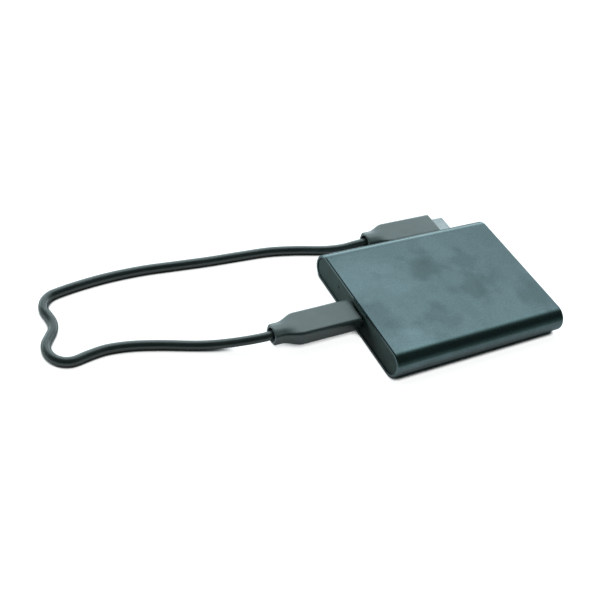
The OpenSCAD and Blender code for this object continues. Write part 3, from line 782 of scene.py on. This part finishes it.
@dataclass
class Plug:
    """One of the cable's plugs: a soft moulding over a drawn metal shell.

    Attributes:
        end: The end of the cable that it is on.
        width: Width of the moulding at its body.
        thickness: Its thickness.
        body_l: Length of the body.
        shoulder_l: Length of the shoulder.
        neck_l: Length of the neck.
        neck_w: Width of the neck.
        neck_roundness: 0 for the body's section, 1 for an oval.
        edge_r: Radius of the long edges.
        bulge: How far the sides stand out at their middle.
        bulge_power: How flat they are there.
        nose_round: Radius of the front edge, and length of the neck's.
        neck_round: Depth of the neck's edge.
        recess_d: Width of the recess.
        recess_l: Its depth.
        lip_round: Radius of its lip.
        mouth_inset: Width of the band between the neck's edge and the lip.
        shell_w: Width of the metal shell.
        shell_h: Its height.
        shell_l: Length of it that the moulding holds.
        shell_fit: Gap around it.
        shell_corner: Radius of its corners, as a share of its height.
        shoulder_steps: Steps along the shoulder.
        edge_steps: Steps round a long edge.
        side_cuts: Cuts down a side, which let it swell.
        top_cuts: Cuts across the top and the underside.
        corner_steps: Steps round a corner of the slot for the shell.
        crease: Angle in degrees above which an edge stays sharp.
        front: Middle of the front face of the drive's plug.
        host_end: Middle of the neck's end of the other plug.
    """

    end: End
    width: float = 10.9 * MM
    thickness: float = 6.1 * MM
    body_l: float = 22.5 * MM
    shoulder_l: float = 7.2 * MM
    neck_l: float = 2.8 * MM
    neck_w: float = 6.9 * MM
    neck_roundness: float = 0.45
    edge_r: float = 0.7 * MM
    bulge: float = 0.5 * MM
    bulge_power: int = 4
    nose_round: float = 0.5 * MM
    neck_round: float = 0.35 * MM
    recess_d: float = 5 * MM
    recess_l: float = 2 * MM
    lip_round: float = 0.12 * MM
    mouth_inset: float = 0.15 * MM
    shell_w: float = 8.25 * MM
    shell_h: float = 2.4 * MM
    shell_l: float = 5 * MM
    shell_fit: float = 0.03 * MM
    shell_corner: float = 0.499
    shoulder_steps: int = 16
    edge_steps: int = 6
    side_cuts: int = 9
    top_cuts: int = 11
    corner_steps: int = 10
    crease: float = 35
    front: Vector = field(default_factory=lambda: Vector((-37.65, 0, 5.25)) * MM)
    host_end: Vector = field(default_factory=lambda: Vector((-12, 34.5, 3.05)) * MM)

    @property
    def length(self) -> float:
        """Length of the moulding."""
        return self.body_l + self.shoulder_l + self.neck_l

    def stations(self) -> list[tuple[float, float, float, float]]:
        """Where the moulding's section changes.

        Returns:
            For each station its distance from the front face, its width, thickness and roundness.
        """
        made = []
        for turn in QUARTER:
            less = 2 * self.nose_round * inset(turn)
            made.append((self.nose_round * sink(turn), self.width - less, self.thickness - less, 0.0))
        for step in range(self.shoulder_steps + 1):
            t = step / self.shoulder_steps
            rise = smoothstep(t)
            wide = self.width + (self.neck_w - self.width) * rise
            made.append((self.body_l + self.shoulder_l * t, wide, self.thickness,
                         self.neck_roundness * rise))
        for turn in reversed(QUARTER):
            less = 2 * self.neck_round * inset(turn)
            made.append((self.length - self.nose_round * sink(turn), self.neck_w - less,
                         self.thickness - less, self.neck_roundness))
        return made

    def outline(self) -> bpy.types.Object:
        """Draw the full section as one flat face, with round edges and sides that swell.

        Returns:
            The object, in edit mode.
        """
        deselect()
        bpy.ops.mesh.primitive_plane_add(size=1, rotation=(0, math.radians(90), 0))
        section = name_new(f"{self.end.value}_plug_moulding")
        section.scale = (self.thickness, self.width, 1)
        place_in_mesh()
        edit()
        narrow = 1 - 2 * self.bulge / self.width
        bpy.ops.transform.resize(value=(1, narrow, 1), center_override=(0, 0, 0))
        bpy.ops.mesh.bevel(offset=self.edge_r, segments=self.edge_steps, affect="VERTICES")
        side = self.width / 2 * narrow
        half = self.thickness / 2
        pick_edges(section, lambda a, b: min(abs(a.y), abs(b.y)) > side - TOLERANCE)
        bpy.ops.mesh.subdivide(number_cuts=self.side_cuts)
        pick_edges(section, lambda a, b: min(abs(a.z), abs(b.z)) > half - TOLERANCE)
        bpy.ops.mesh.subdivide(number_cuts=self.top_cuts)
        leave_edit()
        for vertex in section.data.vertices:
            if abs(vertex.co.z) < half - TOLERANCE:
                swell = self.bulge * (1 - (abs(vertex.co.z) / half) ** self.bulge_power)
                vertex.co.y += math.copysign(swell, vertex.co.y)
        edit()
        bpy.ops.mesh.select_all(action="SELECT")
        return section

    def moulding(self) -> bpy.types.Object:
        """Draw the section out along the plug, station by station.

        Returns:
            The object, in edit mode, with the face of its neck's end selected.
        """
        piece = self.outline()
        last_away = last_round = 0.0
        for index, (away, wide, tall, roundness) in enumerate(self.stations()):
            if index:
                self.extrude(last_away - away)
            if roundness > last_round:
                bpy.ops.transform.tosphere(value=(roundness - last_round) / (1 - last_round))
            self.fit_ring(piece, away, wide, tall)
            last_away = away
            last_round = roundness
        return piece

    def extrude(self, along: float) -> None:
        """Draw the selected face out along X."""
        bpy.ops.mesh.extrude_region_move(TRANSFORM_OT_translate={"value": (along, 0, 0)})

    def fit_ring(self, piece: bpy.types.Object, away: float, wide: float, tall: float) -> None:
        """Bring the selected ring to its place, width and thickness.

        Args:
            piece: The moulding, in edit mode.
            away: The ring's distance from the front face.
            wide: Its width.
            tall: Its thickness.
        """
        leave_edit()
        ring = [v for v in piece.data.vertices if v.select]
        spread = max(abs(v.co.y) for v in ring)
        height = max(abs(v.co.z) for v in ring)
        for vertex in ring:
            vertex.co.x = -away
            vertex.co.y *= wide / 2 / spread
            vertex.co.z *= tall / 2 / height
        edit()

    def recess(self, piece: bpy.types.Object) -> None:
        """Sink the round recess that the cord leaves by into the selected end of the neck.

        Args:
            piece: The moulding, in edit mode.
        """
        bpy.ops.mesh.inset(thickness=self.mouth_inset)
        bpy.ops.transform.tosphere(value=1)
        mouth = self.recess_d + 2 * self.lip_round
        self.fit_ring(piece, self.length, mouth, mouth)
        for turn in LIP_TURNS:
            drop = self.lip_round * sink(turn)
            wide = self.recess_d + 2 * self.lip_round * inset(turn)
            self.extrude(drop)
            self.fit_ring(piece, self.length - drop, wide, wide)
        self.extrude(self.recess_l)
        self.fit_ring(piece, self.length - self.recess_l, self.recess_d, self.recess_d)

    def slot(self, piece: bpy.types.Object) -> None:
        """Cut the slot that holds the metal shell into the front face.

        Args:
            piece: The moulding, in object mode.
        """
        deselect()
        bpy.ops.mesh.primitive_cube_add(size=1)
        cutter = name_new("slot_cutter")
        over = 1 * MM
        gap = 2 * self.shell_fit
        cutter.scale = (self.shell_l + over, self.shell_w + gap, self.shell_h + gap)
        cutter.location = ((over - self.shell_l) / 2, 0, 0)
        place_in_mesh()
        pick_edges(cutter, lambda a, b: abs(a.x - b.x) > over)
        bpy.ops.mesh.bevel(offset=self.shell_corner * self.shell_h, segments=self.corner_steps)
        leave_edit()
        apply_modifier(piece, "BOOLEAN", object=cutter, operation="DIFFERENCE", solver="EXACT")
        select(cutter)
        bpy.ops.object.delete()

    def build(self) -> bpy.types.Object:
        """Model the moulding and put it in its place.

        Returns:
            The finished piece.
        """
        piece = self.moulding()
        self.recess(piece)
        bpy.ops.mesh.select_all(action="SELECT")
        bpy.ops.mesh.remove_doubles(threshold=WELD)
        bpy.ops.mesh.normals_make_consistent(inside=False)
        leave_edit()
        self.slot(piece)
        smooth(piece, self.crease)
        if self.end is End.DRIVE:
            piece.location = self.front
        else:
            piece.location = self.host_end + Vector((self.length, 0, 0))
        select(piece)
        place_in_mesh()
        finish_piece(piece, "plug_moulding", f"{self.end.value}_plug_body")
        return piece

    def metalwork(self) -> list[bpy.types.Object]:
        """Dress the shell and what is in it.

        Returns:
            Those CAD nodes.
        """
        parts = {"shell": "connector_steel", "insulator": "insulator", "contacts": "contact_gold"}
        for part, finish in parts.items():
            dress(f"{self.end.value}_plug_{part}", finish)
        return [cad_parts[f"{self.end.value}_plug_{part}"] for part in parts]


@dataclass
class Cord:
    """The data cord between the two plugs, laid as in the photograph.

    Attributes:
        diameter: Its diameter.
        lie: Height of its middle line where it lies on the floor, in millimetres.
        start: Where it leaves the drive's plug, in millimetres.
        stop: Where it enters the other plug, in millimetres.
        lead: Share of the way between its neighbours that a point's handle takes.
        ring_steps: Steps round a quarter of it.
        span_steps: Steps between two points.
    """

    diameter: float = 3.2 * MM
    lie: float = 1.6
    start: Point = (-68.15, 0, 5.25)
    stop: Point = (-10, 34.5, 3.05)
    lead: float = 1 / 6
    ring_steps: int = 5
    span_steps: int = 8

    def route(self) -> list[Vector]:
        """The points of its middle line, as in the CAD cord.

        Returns:
            The points from the drive's plug to the host plug.
        """
        z = self.lie
        spots = [
            self.start, (-73, 0, 5), (-80, 1.6, 3.7), (-88, 4.2, 2.1), (-96, 6.8, z), (-105, 9.9, z),
            (-114, 12.4, z), (-122, 13.4, z), (-128.5, 12.7, z), (-133.2, 11.8, z), (-136.4, 12.4, z),
            (-138.9, 14.5, z), (-140, 17.6, z), (-139.5, 20.9, z), (-137.6, 23.6, z), (-135.6, 26.2, z),
            (-134.8, 29.3, z), (-135.2, 32.4, z), (-135.8, 35.4, z), (-134.9, 38.5, z), (-132.7, 40.8, z),
            (-129.7, 41.9, z), (-121, 43.4, z), (-110, 44.4, z), (-98, 44.4, z), (-86, 43.4, z),
            (-74, 42.4, z), (-62, 41.8, z), (-50, 41, z), (-39.5, 38.9, z), (-30, 36.3, z),
            (-22.5, 34.9, 1.9), (-16, 34.5, 2.7), self.stop,
        ]
        return [Vector(spot) * MM for spot in spots]

    def build(self, carried: list[bpy.types.Object]) -> None:
        """Lay the cord as one smooth curve.

        Args:
            carried: The pieces of both plugs, which are on the cord. It is not used.
        """
        points = self.route()
        curve = bpy.data.curves.new("data_cord", "CURVE")
        curve.dimensions = "3D"
        curve.bevel_depth = self.diameter / 2
        curve.bevel_resolution = self.ring_steps
        curve.resolution_u = self.span_steps
        curve.use_fill_caps = True
        spline = curve.splines.new("BEZIER")
        spline.bezier_points.add(len(points) - 1)
        for index, (knot, spot) in enumerate(zip(spline.bezier_points, points)):
            before = points[max(index - 1, 0)]
            after = points[min(index + 1, len(points) - 1)]
            lead = (after - before) * self.lead
            if abs(spot.z - self.lie * MM) < TOLERANCE:
                lead.z = 0
            knot.co = spot
            knot.handle_left = spot - lead
            knot.handle_right = spot + lead
        cord = bpy.data.objects.new("data_cord", curve)
        bpy.context.scene.collection.objects.link(cord)
        finish_piece(cord, "cord_jacket", "cord")


# The drive


@dataclass
class Dressed:
    """CAD nodes that keep their shape and get a better finish, by name."""

    finishes: dict[str, str]

    def dress(self) -> None:
        """Dress every node."""
        for node, finish in self.finishes.items():
            dress(node, finish)


@dataclass
class Case(Dressed):
    """The extruded sleeve and the trims that close it."""

    finishes: dict[str, str] = field(default_factory=lambda: {
        "sleeve": "anodised_sleeve", "port_trim": "end_trim", "rear_trim": "end_trim",
        "port_trim_film": "adhesive_film", "rear_trim_film": "adhesive_film",
    })


@dataclass
class Inside(Dressed):
    """The chassis and the two boards that it carries."""

    finishes: dict[str, str] = field(default_factory=lambda: {
        "chassis": "chassis_plastic", "rear_bracket": "chassis_plastic",
        "port_end_screws": "screw_steel", "rear_end_screws": "screw_steel",
        "light_pipe": "clear_plastic", "status_led": "led_body", "bridge_board": "board_green",
        "bridge_board_screws": "screw_steel", "socket_shell": "connector_steel",
        "socket_insulator": "insulator", "socket_contacts": "contact_gold",
        "bridge_chip": "chip_package", "bridge_inductor": "ferrite", "bridge_crystal": "connector_steel",
        "bridge_capacitors": "capacitor_ceramic", "module_connector": "insulator",
        "module_connector_pins": "contact_gold", "flash_module_board": "board_blue",
        "module_screws": "screw_steel", "flash_packages": "chip_package",
        "controller_chip": "chip_package", "memory_chip": "chip_package",
        "module_capacitors": "capacitor_ceramic", "thermal_pad": "thermal_pad",
    })


# The studio


@dataclass
class Camera:
    """The photograph's viewpoint.

    Attributes:
        place: Where it stands, in millimetres.
        target: What it points at, in millimetres.
        roll: How far it is turned about its line of sight.
        lens: Focal length in millimetres.
        sensor: Width of the sensor in millimetres.
        nearest: How near something can be and still be seen.
    """

    place: Point = (-197.29, -170.07, 225.88)
    target: Point = (-52.89, 11.87, 5.25)
    roll: float = math.radians(15.4375)
    lens: float = 55.04
    sensor: float = 36
    nearest: float = 10 * MM

    def build(self) -> None:
        """Set up the scene's camera."""
        data = bpy.data.cameras.new("view")
        data.lens = self.lens
        data.sensor_width = self.sensor
        data.clip_start = self.nearest
        camera = bpy.data.objects.new("view", data)
        bpy.context.scene.collection.objects.link(camera)
        heading = (Vector(self.target) - Vector(self.place)).to_track_quat("-Z", "Y")
        camera.rotation_mode = "QUATERNION"
        camera.rotation_quaternion = heading @ Quaternion((0, 0, 1), self.roll)
        camera.location = Vector(self.place) * MM
        bpy.context.scene.camera = camera


@dataclass
class Studio:
    """White floor, soft light from above and behind, and a darker room on the near side.

    Attributes:
        floor_size: Width of the floor.
        floor_colour: Its colour for the light that falls on it.
        floor_glow: What is added for the camera, where 1 is white.
        gloss_share: Share of that glow that gloss and glass show.
        contact: How near the object the floor is dark.
        contact_ends: Openness to the light at which the floor is dark, and is white.
        far_side: Direction of the bright side of the room.
        far_ends: Shares of that direction at which the bright side begins and is full.
        horizon_glow: Strength of the far wall near the floor.
        sky_glow: Its strength higher up.
        wall_ends: Heights between which it changes.
        panel_glow: Strength of the panel above it.
        panel_ends: Heights at which the panel begins and is full.
        near_low_glow: Strength of the near side at the floor.
        near_glow: Its strength higher up.
        near_ends: Heights between which it changes.
        far_tint: Colour of the far side.
        near_tint: Colour of the near side.
        lamps: Name, place, width and power of each lamp.
        lamp_target: What the lamps point at.
    """

    floor_size: float = 4.0
    floor_colour: Colour = (0.31, 0.37, 0.38)
    floor_glow: float = 0.94
    gloss_share: float = 0.11
    contact: float = 3.5 * MM
    contact_ends: tuple[float, float] = (0.38, 0.58)
    far_side: Point = (0.5, 0.866, 0)
    far_ends: tuple[float, float] = (0.24, 0.6)
    horizon_glow: float = 1.9
    sky_glow: float = 0.6
    wall_ends: tuple[float, float] = (0.12, 0.42)
    panel_glow: float = 0.45
    panel_ends: tuple[float, float] = (0.55, 0.74)
    near_low_glow: float = 0.15
    near_glow: float = 0.03
    near_ends: tuple[float, float] = (0.0, 0.5)
    far_tint: Colour = (0.8, 1.0, 1.04)
    near_tint: Colour = (0.6, 1.0, 0.9)
    lamps: tuple[tuple[str, Point, float, float], ...] = (
        ("back_lamp", (0.12, 0.3, 0.55), 0.5, 2.6),
        ("left_lamp", (-0.357, 0.26, 0.075), 0.2, 1.6),
    )
    lamp_target: Point = (-0.03, 0, 0)

    def floor(self) -> None:
        """Lay the floor: white to the eye, with the object's shadow on it."""
        deselect()
        bpy.ops.mesh.primitive_plane_add(size=self.floor_size)
        plane = name_new("floor")
        material = bpy.data.materials.new("floor_white")
        material.use_nodes = True
        graph = Graph(material.node_tree)
        graph.tree.nodes.clear()
        paint = graph.add("BsdfDiffuse", {"Color": self.floor_colour})
        close = graph.add("AmbientOcclusion", {"Distance": self.contact}).outputs["AO"]
        lift = graph.math("MULTIPLY", graph.ramp(close, *self.contact_ends), self.floor_glow)
        strength = graph.math("MULTIPLY", self.seen(graph), lift)
        glow = graph.add("Emission", {"Color": (1.0, 1.0, 1.0), "Strength": strength})
        both = graph.add("AddShader", {0: paint.outputs[0], 1: glow.outputs[0]})
        graph.add("OutputMaterial", {"Surface": both.outputs[0]})
        plane.data.materials.append(material)

    def seen(self, graph: Graph) -> bpy.types.NodeSocket:
        """Tell by which rays a surface is seen.

        Args:
            graph: The surface's graph.

        Returns:
            1 for the camera's own rays, and a share of it for those from gloss or through glass.
        """
        path = graph.add("LightPath").outputs
        mirrored = graph.math("MAXIMUM", path["Is Glossy Ray"], path["Is Transmission Ray"])
        shared = graph.math("MULTIPLY", mirrored, self.gloss_share)
        return graph.math("MAXIMUM", path["Is Camera Ray"], shared)

    def room(self) -> None:
        """Light the scene by its surroundings, which are white to the camera."""
        world = bpy.data.worlds.new("room")
        world.use_nodes = True
        graph = Graph(world.node_tree)
        graph.tree.nodes.clear()
        heading = graph.add("TexCoord").outputs["Generated"]
        height = graph.add("SeparateXYZ", {0: heading}).outputs["Z"]
        pair = {0: heading, 1: Vector(self.far_side)}
        depth = graph.add("VectorMath", pair, operation="DOT_PRODUCT").outputs[1]
        far = graph.ramp(depth, *self.far_ends)
        wall = graph.ramp(height, *self.wall_ends, self.horizon_glow, self.sky_glow)
        panel = graph.ramp(height, *self.panel_ends, 0, self.panel_glow)
        near = graph.ramp(height, *self.near_ends, self.near_low_glow, self.near_glow)
        share = graph.math("ADD", graph.math("MULTIPLY", far, graph.math("ADD", wall, panel)),
                           graph.math("MULTIPLY", graph.math("SUBTRACT", 1.0, far), near))
        tint = graph.mix(far, self.near_tint, self.far_tint)
        lit = graph.add("Background", {"Color": tint, "Strength": share})
        white = graph.add("Background", {"Color": (1.0, 1.0, 1.0), "Strength": 1.0})
        camera = graph.add("LightPath").outputs["Is Camera Ray"]
        both = graph.add("MixShader", {0: camera, 1: lit.outputs[0], 2: white.outputs[0]})
        graph.add("OutputWorld", {"Surface": both.outputs[0]})
        bpy.context.scene.world = world

    def lamp(self, name: str, place: Point, size: float, power: float) -> None:
        """Hang a soft round lamp that shines on the drive and isn't mirrored in it.

        Args:
            name: Its name.
            place: Where it hangs.
            size: Its width.
            power: Its power in watts.
        """
        data = bpy.data.lights.new(name, "AREA")
        data.shape = "DISK"
        data.size = size
        data.energy = power
        lamp = bpy.data.objects.new(name, data)
        lamp.location = place
        lamp.rotation_mode = "QUATERNION"
        heading = Vector(self.lamp_target) - lamp.location
        lamp.rotation_quaternion = heading.to_track_quat("-Z", "Y")
        lamp.visible_glossy = False
        bpy.context.scene.collection.objects.link(lamp)

    def build(self) -> None:
        """Build the studio and set the plain view transform."""
        self.floor()
        self.room()
        for lamp in self.lamps:
            self.lamp(*lamp)
        bpy.context.scene.view_settings.view_transform = "Standard"


def main() -> None:
    """Build every sub-assembly in order."""
    logging.basicConfig(level=logging.INFO, format="%(message)s")
    Camera().build()
    carried = []
    for end in End:
        plug = Plug(end)
        carried += [plug.build(), *plug.metalwork()]
    Cord().build(carried)
    Case().dress()
    Inside().dress()
    Studio().build()


if __name__ == "__main__":
    main()
